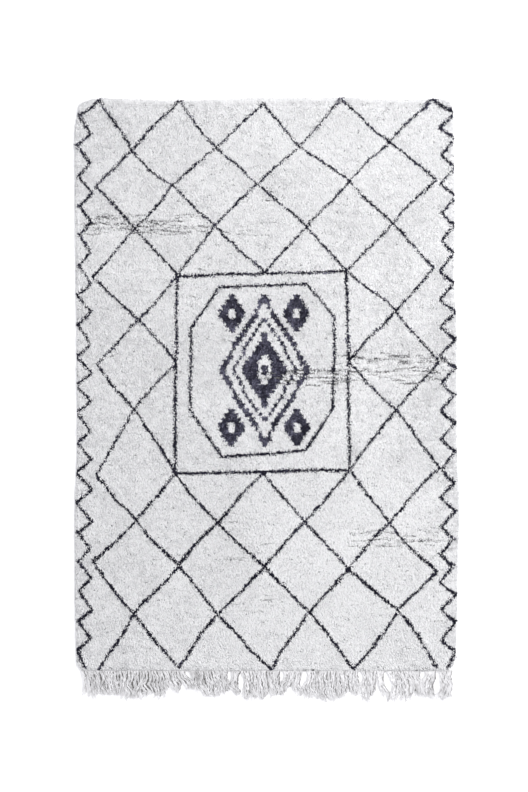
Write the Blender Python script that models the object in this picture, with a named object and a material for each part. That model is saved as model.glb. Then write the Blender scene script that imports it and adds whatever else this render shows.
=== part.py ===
"""Flat wool pile rug with its warp fringe at one end. Metres, +Z up.

The origin is the middle of the pile field, on the floor. +Y runs along the rug, away from the fringe.
"""

import math
import random
from collections import namedtuple

import bmesh
import bpy
from mathutils import Vector, noise

# Pile field
FIELD_WIDTH = 2.00
FIELD_LENGTH = 3.00
CELLS_ACROSS = 36
CELLS_ALONG = 54
CORNER_RADIUS = 0.045

# Heights above the floor, from the edge inwards
WEAVE_HEIGHT = 0.0065
RIM_HEIGHT = 0.0125
SHOULDER_HEIGHT = 0.0185
PILE_HEIGHT = 0.0220

# The pile leans out over the woven edge, then rounds up to the field
RIM_OVERHANG = 0.0070
RIM_RAGGEDNESS = 0.0080
SHOULDER_WIDTH = 0.024

# Lumps in the pile: the wavelength and the height of each layer of noise
Lumps = namedtuple("Lumps", "wavelength height")
LUMP_LAYERS = (
    Lumps(wavelength=0.38, height=0.0040),
    Lumps(wavelength=0.13, height=0.0055),
)

# Where the rims of the two long edges run, at stations along the rug
EdgeStation = namedtuple("EdgeStation", "along left right")
LONG_EDGES = (
    EdgeStation(along=1.50, left=-0.986, right=0.980),
    EdgeStation(along=1.32, left=-1.004, right=0.981),
    EdgeStation(along=0.90, left=-1.003, right=0.988),
    EdgeStation(along=0.62, left=-0.999, right=0.982),
    EdgeStation(along=0.24, left=-0.994, right=0.998),
    EdgeStation(along=-0.28, left=-0.991, right=0.997),
    EdgeStation(along=-0.70, left=-1.003, right=1.009),
    EdgeStation(along=-1.10, left=-1.001, right=1.000),
    EdgeStation(along=-1.50, left=-0.996, right=0.993),
)

# Where the rim of the plain end runs, at stations across the rug; the fringe end is straight
EndStation = namedtuple("EndStation", "across along")
PLAIN_END = (
    EndStation(across=-1.00, along=1.492),
    EndStation(across=-0.90, along=1.504),
    EndStation(across=-0.50, along=1.493),
    EndStation(across=0.00, along=1.506),
    EndStation(across=0.45, along=1.509),
    EndStation(across=0.68, along=1.497),
    EndStation(across=1.00, along=1.503),
)
FRINGE_END = -1.500

# Soft troughs where the pile parts over an old fold
Parting = namedtuple("Parting", "x1 y1 x2 y2 depth")
PARTINGS = (
    Parting(x1=-0.97, y1=0.84, x2=-0.24, y2=0.85, depth=0.0040),
    Parting(x1=0.03, y1=0.06, x2=1.00, y2=0.10, depth=0.0070),
    Parting(x1=0.42, y1=-0.80, x2=1.00, y2=-0.82, depth=0.0050),
)
PARTING_WIDTH = 0.045

# Locks of pile that stick out at the rim, each grown from one face of it
LOCKS = 120
LOCK_REACH = (0.013, 0.027)
LOCK_SWING = 0.010
Section = namedtuple("Section", "reach width low high")
LOCK_SECTIONS = (
    Section(reach=0.40, width=0.84, low=0.0045, high=0.0150),
    Section(reach=1.00, width=0.18, low=0.0020, high=0.0062),
)
LOCK_ABOVE_FRINGE = 0.0015
LOCK_FREE_CORNER = 0.075

# Fringe: four-sided strands, level on the floor, out of a narrow strip
STRANDS = 172
STRIP_LENGTH = 1.972
STRIP_DEPTH = 0.0090
STRIP_HEIGHT = 0.0042
STRIP_GAP = 0.0003
STRAND_WIDTH = 0.0054
STRAND_SECTIONS = 3
TIP_WIDTH = 0.0032
TIP_HEIGHT = 0.0026
STRAND_LENGTH = 0.150
LENGTH_SPREAD = 0.026

# How far the fringe reaches, at stations across the rug
ReachStation = namedtuple("ReachStation", "across length")
FRINGE_REACH = (
    ReachStation(across=-0.98, length=0.122),
    ReachStation(across=-0.69, length=0.140),
    ReachStation(across=-0.50, length=0.096),
    ReachStation(across=-0.40, length=0.092),
    ReachStation(across=-0.29, length=0.132),
    ReachStation(across=-0.18, length=0.118),
    ReachStation(across=0.00, length=0.148),
    ReachStation(across=0.13, length=0.094),
    ReachStation(across=0.28, length=0.142),
    ReachStation(across=0.47, length=0.110),
    ReachStation(across=0.64, length=0.150),
    ReachStation(across=0.76, length=0.124),
    ReachStation(across=0.98, length=0.150),
)

# Openings between bunches of fringe: place across the rug, and width at the tips
Opening = namedtuple("Opening", "across width")
FRINGE_OPENINGS = (
    Opening(across=-0.523, width=0.018),
    Opening(across=-0.414, width=0.030),
    Opening(across=-0.187, width=0.016),
    Opening(across=-0.134, width=0.018),
    Opening(across=0.087, width=0.020),
    Opening(across=0.205, width=0.030),
    Opening(across=0.485, width=0.018),
    Opening(across=0.577, width=0.024),
    Opening(across=0.632, width=0.026),
    Opening(across=0.752, width=0.030),
    Opening(across=0.909, width=0.024),
)
BUNCH_WIDTH = (0.045, 0.095)
BUNCH_OPENING = (0.008, 0.018)
BUNCH_LEAN = 0.40

PILE_COLOUR = (0.80, 0.80, 0.79, 1.0)
FRINGE_COLOUR = (0.72, 0.71, 0.69, 1.0)


def clear_scene():
    for thing in list(bpy.data.objects):
        bpy.data.objects.remove(thing)


def wool(name, colour):
    material = bpy.data.materials.new(name)
    material.use_nodes = True
    shader = material.node_tree.nodes["Principled BSDF"]
    shader.inputs["Base Color"].default_value = colour
    shader.inputs["Roughness"].default_value = 0.95
    shader.inputs["Metallic"].default_value = 0.0
    return material


def add_object(name, bm, material, collection):
    bmesh.ops.recalc_face_normals(bm, faces=bm.faces)
    mesh = bpy.data.meshes.new(name)
    bm.to_mesh(mesh)
    bm.free()
    mesh.materials.append(material)
    collection.objects.link(bpy.data.objects.new(name, mesh))


def eased(stations, key, value, at):
    """Reads a table of stations at a place between them, with an S-curve from each to the next."""
    rows = sorted(stations, key=lambda row: getattr(row, key))
    at = min(max(at, getattr(rows[0], key)), getattr(rows[-1], key))
    for low, high in zip(rows, rows[1:]):
        start, end = getattr(low, key), getattr(high, key)
        if at <= end:
            share = (at - start) / (end - start)
            share = share * share * (3.0 - 2.0 * share)
            return getattr(low, value) * (1.0 - share) + getattr(high, value) * share
    return getattr(rows[-1], value)


def rippled(point, wavelength, layer):
    """Smooth noise over the rug, within -1 to 1."""
    return noise.noise(Vector((point.x / wavelength, point.y / wavelength, 7.3 * layer)))


def on_rug(across, along, inset):
    """The place of a point given as shares of the field, from -1 to 1 each way.

    The inset draws the rug's outline in from the rim. Square corners are pulled in to arcs.
    """
    flat = Vector((across * FIELD_WIDTH / 2, along * FIELD_LENGTH / 2))
    left = eased(LONG_EDGES, "along", "left", flat.y) + inset
    right = eased(LONG_EDGES, "along", "right", flat.y) - inset
    near = FRINGE_END - RIM_OVERHANG + inset
    far = eased(PLAIN_END, "across", "along", flat.x) - inset
    arc = Vector((
        max(abs(flat.x) - FIELD_WIDTH / 2 + CORNER_RADIUS, 0.0),
        max(abs(flat.y) - FIELD_LENGTH / 2 + CORNER_RADIUS, 0.0),
    ))
    if arc.x > 0.0 and arc.y > 0.0:
        pulled = arc * (max(arc.x, arc.y) / arc.length) - arc
        across += math.copysign(1.0, across) * pulled.x / (FIELD_WIDTH / 2)
        along += math.copysign(1.0, along) * pulled.y / (FIELD_LENGTH / 2)
    return Vector((
        left + (right - left) * (across + 1.0) / 2,
        near + (far - near) * (along + 1.0) / 2,
    ))


def graded(position, cells, size):
    """Even grid lines, but for the outer ones, which leave only the shoulder's width to the edge."""
    line = (abs(position) + 0.5) * cells
    shoulder = 1.0 - 2.0 * SHOULDER_WIDTH / size
    share = shoulder * (2.0 * (line - 1.0) / (cells - 2.0) - 1.0)
    if line > cells - 1:
        share = shoulder + (1.0 - shoulder) * (line - cells + 1.0)
    return math.copysign(share, position)


def parting_depth(point):
    depth = 0.0
    for parting in PARTINGS:
        start = Vector((parting.x1, parting.y1))
        run = Vector((parting.x2, parting.y2)) - start
        share = min(max((point - start).dot(run) / run.length_squared, 0.0), 1.0)
        away = (point - start - run * share).length / PARTING_WIDTH
        depth = max(depth, parting.depth * math.exp(-away * away))
    return depth


def pile_top(point):
    lumps = sum(
        layer.height * rippled(point, layer.wavelength, number)
        for number, layer in enumerate(LUMP_LAYERS)
    )
    return PILE_HEIGHT + lumps - parting_depth(point)


def extrude_down(bm, rim, shares, height):
    """Extrudes the open rim to the woven edge's outline, at a height. Gives the new rim and its shares."""
    made = bmesh.ops.extrude_edge_only(bm, edges=rim)["geom"]
    lower = {}
    for vert in made:
        if not isinstance(vert, bmesh.types.BMVert):
            continue
        neighbours = [edge.other_vert(vert) for edge in vert.link_edges]
        lower[vert] = next(shares[other] for other in neighbours if other in shares)
        point = on_rug(*lower[vert], RIM_OVERHANG)
        vert.co = (point.x, point.y, height)
    return [edge for edge in made if isinstance(edge, bmesh.types.BMEdge)], lower


def build_slab():
    """The lumpy top is a grid. Its rim is extruded down to the woven edge, and on to the flat underside."""
    bm = bmesh.new()
    bmesh.ops.create_grid(bm, x_segments=CELLS_ACROSS, y_segments=CELLS_ALONG, size=0.5)
    bmesh.ops.subdivide_edges(bm, edges=[edge for edge in bm.edges if edge.is_boundary], cuts=1)
    shares = {}
    for vert in bm.verts:
        spot = graded(vert.co.x, CELLS_ACROSS, FIELD_WIDTH), graded(vert.co.y, CELLS_ALONG, FIELD_LENGTH)
        point = on_rug(*spot, 0.0)
        height = pile_top(point)
        if vert.is_boundary:
            shares[vert] = spot
            ragged = RIM_RAGGEDNESS * rippled(point, 0.047, 5)
            point = on_rug(*spot, ragged)
            height = RIM_HEIGHT - 0.3 * ragged
        elif any(edge.other_vert(vert).is_boundary for edge in vert.link_edges):
            height += SHOULDER_HEIGHT - PILE_HEIGHT
        vert.co = (point.x, point.y, height)

    rim = [edge for edge in bm.edges if edge.is_boundary]
    rim, shares = extrude_down(bm, rim, shares, WEAVE_HEIGHT)
    overhang = [edge.link_faces[0] for edge in rim]
    rim, shares = extrude_down(bm, rim, shares, 0.0)
    bmesh.ops.contextual_create(bm, geom=rim)

    rng = random.Random(11)
    straight = [face for face in overhang if not in_corner(face.calc_center_median())]
    for face in picked_apart(straight, LOCKS, rng):
        grow_lock(bm, face, rng)
    return bm


def in_corner(point):
    return (
        abs(point.x) > FIELD_WIDTH / 2 - LOCK_FREE_CORNER
        and abs(point.y) > FIELD_LENGTH / 2 - LOCK_FREE_CORNER
    )


def picked_apart(faces, count, rng):
    """Picks faces at random, of which no two touch."""
    picked = []
    for face in rng.sample(faces, len(faces)):
        beside = {other for edge in face.edges for other in edge.link_faces}
        if beside.isdisjoint(picked) and len(picked) < count:
            picked.append(face)
    return picked


def shape_section(face, centre, sideways, width, low, high):
    """Makes the end face of a lock or strand an upright rectangle about a place."""
    middle = face.calc_center_median()
    for vert in face.verts:
        away = vert.co - middle
        side = math.copysign(width / 2, away.xy.dot(sideways))
        place = centre + sideways * side
        vert.co = (place.x, place.y, high if away.z > 0.0 else low)


def grow_lock(bm, face, rng):
    """A tapered lock in two sections, which droops from the rim and leans to one side."""
    edge = max(face.edges, key=lambda edge: edge.calc_length())
    run = (edge.verts[1].co - edge.verts[0].co).xy
    sideways = run.normalized()
    outward = Vector((sideways.y, -sideways.x))
    root = face.calc_center_median().xy
    if outward.dot(root) < 0.0:
        outward.negate()
    floor = STRIP_HEIGHT + LOCK_ABOVE_FRINGE if outward.y < -0.5 else 0.0
    reach = rng.uniform(*LOCK_REACH)
    swing = rng.uniform(-LOCK_SWING, LOCK_SWING)
    for section in LOCK_SECTIONS:
        face = bmesh.ops.extrude_discrete_faces(bm, faces=[face])["faces"][0]
        centre = root + outward * reach * section.reach + sideways * swing * section.reach
        low = max(section.low, floor)
        high = max(section.high, low + section.high - section.low)
        shape_section(face, centre, sideways, run.length * section.width, low, high)


def fringe_bunches(rng):
    """Splits the strip into bunches: where each starts and ends at its roots and, leaning, at its tips."""
    borders = [Opening(-STRIP_LENGTH / 2, 0.0)]
    for opening in FRINGE_OPENINGS + (Opening(STRIP_LENGTH / 2, 0.0),):
        start = borders[-1].across
        parts = max(round((opening.across - start) / rng.uniform(*BUNCH_WIDTH)), 1)
        for part in range(1, parts):
            across = start + (opening.across - start) * (part + rng.uniform(-0.2, 0.2)) / parts
            borders.append(Opening(across, rng.uniform(*BUNCH_OPENING)))
        borders.append(opening)
    bunches = []
    for left, right in zip(borders, borders[1:]):
        lean = rng.uniform(-left.width, right.width) * BUNCH_LEAN
        tips = left.across + left.width / 2 + lean, right.across - right.width / 2 + lean
        bunches.append(((left.across, right.across), tips))
    return bunches


def strand_place(bunches, root, distance):
    """Where the strand rooted at this place lies, at a distance down the fringe."""
    roots, tips = next(bunch for bunch in bunches if root <= bunch[0][1])
    share = (root - roots[0]) / (roots[1] - roots[0])
    tip = tips[0] + (tips[1] - tips[0]) * share
    closing = distance / STRAND_LENGTH
    return root + (tip - root) * closing * (1.6 - 0.6 * closing)


def grow_strand(bm, face, bunches, rng):
    root = face.calc_center_median().x
    front = FRINGE_END - STRIP_GAP - STRIP_DEPTH
    length = eased(FRINGE_REACH, "across", "length", root) - LENGTH_SPREAD * rng.random() ** 2
    for step in range(1, STRAND_SECTIONS + 1):
        distance = length * step / STRAND_SECTIONS
        closing = distance / STRAND_LENGTH
        face = bmesh.ops.extrude_discrete_faces(bm, faces=[face])["faces"][0]
        shape_section(
            face,
            centre=Vector((strand_place(bunches, root, distance), front - distance)),
            sideways=Vector((1.0, 0.0)),
            width=STRAND_WIDTH + (TIP_WIDTH - STRAND_WIDTH) * closing,
            low=0.0,
            high=STRIP_HEIGHT + (TIP_HEIGHT - STRIP_HEIGHT) * closing,
        )


def build_fringe():
    """The strip's front is a row of faces, made deep by an extrusion. Every second one grows a strand."""
    bm = bmesh.new()
    columns = 2 * STRANDS + 1
    bmesh.ops.create_grid(bm, x_segments=columns, y_segments=1, size=0.5)
    pitch = (STRIP_LENGTH - STRAND_WIDTH) / STRANDS
    for vert in bm.verts:
        line = round((vert.co.x + 0.5) * columns)
        strand = (line - 1) // 2
        side = STRAND_WIDTH / 2 if line % 2 == 0 else -STRAND_WIDTH / 2
        x = (strand + 0.5 - STRANDS / 2) * pitch + side
        x = min(max(x, -STRIP_LENGTH / 2), STRIP_LENGTH / 2)
        z = STRIP_HEIGHT if vert.co.y > 0.0 else 0.0
        vert.co = (x, FRINGE_END - STRIP_GAP - STRIP_DEPTH, z)
    front = sorted(bm.faces, key=lambda face: face.calc_center_median().x)
    deep = bmesh.ops.extrude_face_region(bm, geom=front, use_keep_orig=True)["geom"]
    back = [item for item in deep if isinstance(item, bmesh.types.BMVert)]
    bmesh.ops.translate(bm, vec=(0.0, STRIP_DEPTH, 0.0), verts=back)

    rng = random.Random(23)
    bunches = fringe_bunches(rng)
    for face in front[1::2]:
        grow_strand(bm, face, bunches, rng)
    return bm


def main():
    clear_scene()
    rug = bpy.data.collections.new("beni_ourain_rug")
    bpy.context.scene.collection.children.link(rug)
    add_object("rug_body", build_slab(), wool("pile_wool", PILE_COLOUR), rug)
    add_object("fringe", build_fringe(), wool("fringe_wool", FRINGE_COLOUR), rug)


main()
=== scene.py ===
import math
import random
from collections import namedtuple
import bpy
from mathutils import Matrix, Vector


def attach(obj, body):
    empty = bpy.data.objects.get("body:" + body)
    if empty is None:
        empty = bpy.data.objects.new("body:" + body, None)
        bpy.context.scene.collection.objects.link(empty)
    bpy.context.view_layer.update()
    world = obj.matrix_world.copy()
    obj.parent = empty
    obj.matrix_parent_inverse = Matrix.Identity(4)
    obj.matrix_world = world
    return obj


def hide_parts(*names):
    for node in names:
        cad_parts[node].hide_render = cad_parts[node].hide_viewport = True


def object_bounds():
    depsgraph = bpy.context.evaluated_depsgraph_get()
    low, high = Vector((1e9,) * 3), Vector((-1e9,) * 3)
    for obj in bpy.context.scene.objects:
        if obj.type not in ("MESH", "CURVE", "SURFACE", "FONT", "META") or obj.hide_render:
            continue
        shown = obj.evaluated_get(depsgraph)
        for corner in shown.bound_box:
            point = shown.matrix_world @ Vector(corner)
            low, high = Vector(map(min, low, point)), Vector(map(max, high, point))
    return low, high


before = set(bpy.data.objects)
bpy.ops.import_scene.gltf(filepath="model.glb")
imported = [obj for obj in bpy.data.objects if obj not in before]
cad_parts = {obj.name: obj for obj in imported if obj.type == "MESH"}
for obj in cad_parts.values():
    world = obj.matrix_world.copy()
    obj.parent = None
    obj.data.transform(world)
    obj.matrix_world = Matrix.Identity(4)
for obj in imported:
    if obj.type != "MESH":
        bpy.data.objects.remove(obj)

from types import SimpleNamespace

import bmesh
import bpy
import numpy as np
from mathutils import Vector
from mathutils.bvhtree import BVHTree

cadLow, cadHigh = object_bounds()
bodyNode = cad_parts["rug_body"]
print("frame loaded:", sorted(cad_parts))

# The rug's outline and its height come from the frame
halfWidth, halfLength = 1.0, 1.5
outlineHeight = 0.0005  # only the woven outline lies lower than this
edgeSpread = 0.006  # the pile spreads the right and far edges by this
thinPile = 0.012  # the pile's height where no ray meets the body

underside = np.array([v.co[:] for v in bodyNode.data.vertices])
underside = underside[underside[:, 2] < outlineHeight]


def edgeLine(chosen, along, across, shift=0.0):
    # one edge of the outline: stations along it, and where it runs at each
    points = underside[chosen]
    order = np.argsort(points[:, along])
    return points[order, along], points[order, across] + shift


leftLine = edgeLine(underside[:, 0] < -0.9 * halfWidth, 1, 0)
rightLine = edgeLine(underside[:, 0] > 0.9 * halfWidth, 1, 0, edgeSpread)
nearLine = edgeLine(underside[:, 1] < -0.95 * halfLength, 0, 1)
farLine = edgeLine(underside[:, 1] > 0.95 * halfLength, 0, 1, edgeSpread)


def edgesAt(x, y):
    # how far in each point lies from the left, right, near and far edges
    return np.array([
        x - np.interp(y, *leftLine),
        np.interp(y, *rightLine) - x,
        y - np.interp(x, *nearLine),
        np.interp(x, *farLine) - y,
    ])


def clipped(values):
    return np.clip(values, 0.0, 1.0)


def ripples(x, y, amountAndLength, seed):
    # smooth noise, the same each run
    amount, wavelength = amountAndLength
    size = 256
    grid = np.random.default_rng(seed).uniform(-1.0, 1.0, (size, size))
    u, v = x / wavelength + 100.0, y / wavelength + 100.0
    i, j = np.floor(u).astype(int), np.floor(v).astype(int)
    fu, fv = u - i, v - j
    fu, fv = fu * fu * (3 - 2 * fu), fv * fv * (3 - 2 * fv)
    i, j, iNext, jNext = i % size, j % size, (i + 1) % size, (j + 1) % size
    low = grid[i, j] * (1 - fu) + grid[iNext, j] * fu
    high = grid[i, jNext] * (1 - fu) + grid[iNext, jNext] * fu
    return amount * (low * (1 - fv) + high * fv)


def spread(x, y, spots):
    # soft round spots, added up: each has its middle, its size across and along, and an amount
    total = np.zeros(len(x))
    for middleX, middleY, across, along, amount in spots:
        total += amount * np.exp(-((x - middleX) / across) ** 2 - ((y - middleY) / along) ** 2)
    return total


frameSurface = BVHTree.FromPolygons(
    [v.co.copy() for v in bodyNode.data.vertices],
    [tuple(p.vertices) for p in bodyNode.data.polygons],
)


def pileTopAt(x, y):
    tops = np.empty(len(x))
    for k in range(len(x)):
        hit = frameSurface.ray_cast(Vector((x[k], y[k], 1.0)), Vector((0, 0, -1)))[0]
        tops[k] = hit.z if hit else thinPile
    return tops


# The pattern is in metres from the rug's middle. A row of the diamond lattice has where it crosses the rug,
# its rise for each metre to the right, and its crossings, with None where the middle square lies.
latticeRows = (
    (1.49, 0.0, (-0.88, -0.46, -0.02, 0.4, 0.88)),
    (1.255, 0.035, (-0.71, -0.26, 0.17, 0.66)),
    (1.06, 0.018, (-0.9, -0.49, -0.04, 0.44, 0.89)),
    (0.835, 0.02, (-0.69, -0.26, 0.21, 0.67)),
    (0.59, 0.022, (-0.91, -0.466, -0.01, 0.428, 0.89)),
    (0.37, 0.035, (-0.67, None, None, 0.69)),
    (0.116, 0.006, (-0.89, -0.473, None, 0.438, 0.91)),
    (-0.133, 0.006, (-0.69, None, None, 0.69)),
    (-0.455, 0.018, (-0.885, -0.478, -0.01, 0.445, 0.91)),
    (-0.722, -0.008, (-0.68, -0.25, 0.21, 0.66)),
    (-0.962, -0.028, (-0.9, -0.46, -0.01, 0.43, 0.905)),
    (-1.2, 0.01, (-0.69, -0.255, 0.23, 0.7)),
    (-1.488, 0.0, (-0.88, -0.46, 0.02, 0.465, 0.91)),
)

Zigzag = namedtuple("Zigzag", "outer inner teeth top bottom")
zigzags = (
    Zigzag(outer=-0.985, inner=-0.917, teeth=38, top=(-0.876, 1.49), bottom=(-0.955, -1.488)),
    Zigzag(outer=0.99, inner=0.922, teeth=40, top=(0.876, 1.495), bottom=(0.96, -1.49)),
)

design = {
    "latticeLine": 0.0065,  # half widths of the dark lines
    "zigzagLine": 0.0063,
    "squareLine": 0.0079,
    "octagonLine": 0.0072,
    "wander": (0.013, 0.19),  # how far a drawn line strays, and over what length
    "shake": (0.004, 0.022),  # and from knot to knot
    "zigzagStray": 0.3,  # the share of both in the zigzags and in the middle
    "middleStray": 0.4,
    "toothRatio": (0.9, 1.1),  # how far a tooth runs along the rug, out and back
    "toothLength": (0.88, 1.12),
    "toothShake": 0.007,
    "uneven": (0.18, 0.05),  # how much a line's width varies, and over what length
    "farThinner": 0.16,
    "heavier": (  # where the lines are drawn thicker, or thinner
        (-0.95, 1.25, 0.2, 0.5, 0.28), (-0.55, 1.2, 0.25, 0.4, 0.15), (0.95, 1.42, 0.2, 0.16, 0.55),
        (0.96, 0.7, 0.12, 0.45, 0.25), (-0.65, 0.0, 0.3, 0.45, -0.12), (0.1, 1.1, 0.3, 0.5, -0.1),
        (-0.45, -0.95, 0.2, 0.25, 0.2), (0.96, -0.7, 0.12, 0.45, 0.12), (-0.96, -0.8, 0.12, 0.4, 0.06),
    ),
    "raggedness": 1.5,  # no knot is dark past this many half widths
    "square": ((-0.466, 0.571), (0.428, 0.597), (0.445, -0.447), (-0.478, -0.463)),
    "octagon": (
        (-0.245, 0.512), (0.224, 0.53), (0.362, 0.357), (0.355, -0.126),
        (0.211, -0.347), (-0.224, -0.374), (-0.394, -0.147), (-0.392, 0.296),
    ),
}

# A plain medallion for the middle: stepped lozenges inside one another, and a small one at each corner
medallion = {
    "middle": (-0.005, 0.078),
    "half": (0.245, 0.405),
    "step": (0.017, 0.025),
    "bands": ((0.88, 1.0), (0.66, 0.73), (0.2, 0.5), (0.0, 0.09)),  # from the outside in
    "cornerMiddle": (0.172, 0.3),
    "cornerHalf": (0.074, 0.112),
    "cornerHole": 0.36,
}


def latticeLines():
    crossings = []
    for along, rise, places in latticeRows:
        crossings.append([None if x is None else (x, along + rise * x) for x in places])
    lines = []
    for upper, lower in zip(crossings, crossings[1:]):
        few, many = (upper, lower) if len(upper) == 4 else (lower, upper)
        for k, crossing in enumerate(few):
            for other in (many[k], many[k + 1]):
                if crossing and other:
                    lines.append((crossing, other))
    return lines


def zigzagLines(zigzag, rng):
    steps = np.array([design["toothRatio"][k % 2] for k in range(zigzag.teeth)])
    steps *= rng.uniform(*design["toothLength"], zigzag.teeth)
    stations = zigzag.top[1] + (zigzag.bottom[1] - zigzag.top[1]) * np.cumsum(steps) / steps.sum()
    points = [zigzag.top]
    for k, along in enumerate(stations[:-1]):
        shake = rng.uniform(-design["toothShake"], design["toothShake"])
        points.append(((zigzag.inner if k % 2 else zigzag.outer) + shake, along))
    points.append(zigzag.bottom)
    return list(zip(points, points[1:]))


def nearest(x, y, lines):
    best = np.full(len(x), 9.0)
    for (x1, y1), (x2, y2) in lines:
        runX, runY = x2 - x1, y2 - y1
        share = clipped(((x - x1) * runX + (y - y1) * runY) / (runX * runX + runY * runY))
        best = np.minimum(best, np.hypot(x - x1 - runX * share, y - y1 - runY * share))
    return best


def lozengeReach(u, v, half):
    # 1 at the rim of a lozenge, whose sides rise in steps
    stepX, stepY = medallion["step"]
    steppedX, steppedY = (np.floor(u / stepX) + 0.5) * stepX, (np.floor(v / stepY) + 0.5) * stepY
    return steppedX / half[0] + steppedY / half[1]


def inMedallion(x, y):
    u, v = np.abs(x - medallion["middle"][0]), np.abs(y - medallion["middle"][1])
    reach = lozengeReach(u, v, medallion["half"])
    inside = np.zeros(len(x), bool)
    for inner, outer in medallion["bands"]:
        inside |= (reach > inner) & (reach < outer)
    cornerX, cornerY = medallion["cornerMiddle"]
    reach = lozengeReach(np.abs(u - cornerX), np.abs(v - cornerY), medallion["cornerHalf"])
    return inside | ((reach < 1.0) & (reach > medallion["cornerHole"]))


def darkLocks(x, y, chance):
    # a lock is dark if it lies on a line, which wanders as a weaver's does; reach is 1 at a line's edge
    wx = x + ripples(x, y, design["wander"], 31) + ripples(x, y, design["shake"], 32)
    wy = y + ripples(x, y, design["wander"], 33) + ripples(x, y, design["shake"], 34)
    reach = nearest(wx, wy, latticeLines()) / design["latticeLine"]
    rng = np.random.default_rng(41)
    for zigzag in zigzags:
        away = nearest(x + design["zigzagStray"] * (wx - x), y, zigzagLines(zigzag, rng))
        reach = np.minimum(reach, away / design["zigzagLine"])
    wx = x + design["middleStray"] * (wx - x)
    wy = y + design["middleStray"] * (wy - y)
    for loop in ("square", "octagon"):
        corners = design[loop]
        away = nearest(wx, wy, list(zip(corners, corners[1:] + corners[:1])))
        reach = np.minimum(reach, away / design[loop + "Line"])
    reach /= (1.0 + ripples(x, y, design["uneven"], 35)) * (1.0 - design["farThinner"] * y / halfLength)
    reach /= 1.0 + spread(x, y, design["heavier"])
    return chance < design["raggedness"] - reach, inMedallion(wx, wy), reach


# Fine cracks where the pile parts over an old fold: a depth, then points across the rug
cracks = (
    # the far fold, left half
    (0.7, (-0.95, 0.845), (-0.88, 0.86), (-0.82, 0.848), (-0.75, 0.852), (-0.71, 0.84)),
    (0.55, (-0.93, 0.836), (-0.85, 0.828)),
    (0.5, (-0.83, 0.83), (-0.79, 0.833)),
    (0.45, (-0.9, 0.872), (-0.84, 0.88), (-0.78, 0.87)),
    (0.3, (-0.87, 0.893), (-0.8, 0.898)),
    (0.8, (-0.64, 0.826), (-0.6, 0.816), (-0.57, 0.803)),
    (0.6, (-0.63, 0.858), (-0.57, 0.85), (-0.53, 0.835)),
    (0.7, (-0.56, 0.814), (-0.51, 0.812), (-0.47, 0.803)),
    (0.4, (-0.52, 0.83), (-0.45, 0.835)),
    (0.55, (-0.34, 0.835), (-0.28, 0.836)),
    (0.45, (-0.36, 0.815), (-0.3, 0.812)),
    (0.45, (-0.24, 0.812), (-0.19, 0.802)),
    # the middle fold, from the medallion to the right edge
    (1.0, (0.0, 0.041), (0.09, 0.041)),
    (0.8, (0.05, 0.012), (0.1, 0.01)),
    (1.0, (0.1, 0.026), (0.17, 0.026)),
    (0.85, (0.1, 0.068), (0.16, 0.067)),
    (0.8, (0.16, 0.082), (0.21, 0.077)),
    (0.9, (0.17, 0.05), (0.23, 0.044)),
    (0.85, (0.27, 0.088), (0.31, 0.076), (0.39, 0.075)),
    (0.75, (0.27, 0.045), (0.38, 0.043)),
    (0.6, (0.28, 0.025), (0.36, 0.026)),
    (0.7, (0.43, 0.072), (0.51, 0.074)),
    (0.5, (0.48, 0.094), (0.55, 0.088)),
    (0.5, (0.54, 0.06), (0.61, 0.057)),
    (0.85, (0.61, 0.07), (0.66, 0.074), (0.69, 0.088), (0.78, 0.097), (0.86, 0.092)),
    (0.6, (0.6, 0.173), (0.66, 0.168)),
    (0.55, (0.68, 0.15), (0.76, 0.151)),
    (0.7, (0.79, 0.122), (0.89, 0.124), (0.94, 0.131)),
    (0.6, (0.82, 0.076), (0.89, 0.076), (0.93, 0.062)),
    (0.4, (0.7, 0.118), (0.76, 0.112)),
    # the near fold, right half, and two short ones beside the square
    (0.45, (0.46, -0.78), (0.56, -0.772)),
    (0.55, (0.5, -0.815), (0.6, -0.808), (0.66, -0.815)),
    (0.5, (0.68, -0.79), (0.8, -0.795)),
    (0.6, (0.72, -0.825), (0.84, -0.815), (0.92, -0.822)),
    (0.4, (0.6, -0.85), (0.72, -0.842)),
    (0.55, (-0.37, 0.618), (-0.31, 0.606)),
    (0.5, (-0.4, 0.472), (-0.36, 0.466)),
)

# Bands of fainter cracks: the middle, the length and breadth, how many and how deep
bands = (
    (-0.66, 0.85, 0.6, 0.11, 72, 0.43), (0.2, 0.045, 0.42, 0.085, 34, 0.66),
    (0.66, 0.085, 0.62, 0.15, 74, 0.48), (0.72, -0.8, 0.56, 0.12, 36, 0.33),
    (-0.08, -0.95, 0.22, 0.5, 16, 0.3), (-0.06, 0.9, 0.22, 0.3, 18, 0.3),
)

parting = {
    "reach": 0.0072,  # a crack draws on the knots this near to it
    "breadth": 0.05,  # and no knot further off than this is looked at
    "opening": 0.0052,
    "shake": (0.003, 0.022),
    "ending": 0.02,  # it fades out over this length
    "holding": 0.15,  # a crack deeper than this stops the locks above it
    "faintLength": (0.014, 0.055),  # half the length of a faint one
    "faintSlope": 0.0035,
    "faintBow": 0.0025,
    "faintDepth": (0.6, 1.2),
    "rows": (1.0, 0.0085),  # rows part a little all over, and the parting is painted as shadow
    "rowDepth": 0.5,
    "rowShift": 0.0012,
}


def faintCracks(rng):
    found = []
    for middleX, middleY, length, breadth, count, deepest in bands:
        for _ in range(count):
            x = middleX + rng.uniform(-0.5, 0.5) * length
            y = middleY + rng.uniform(-0.5, 0.5) * breadth
            half = rng.uniform(*parting["faintLength"])
            slope = rng.uniform(-parting["faintSlope"], parting["faintSlope"])
            bow = rng.uniform(-parting["faintBow"], parting["faintBow"])
            depth = deepest * rng.uniform(*parting["faintDepth"])
            found.append((depth, (x - half, y - slope), (x, y + bow), (x + half, y + slope)))
    return found


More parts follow.
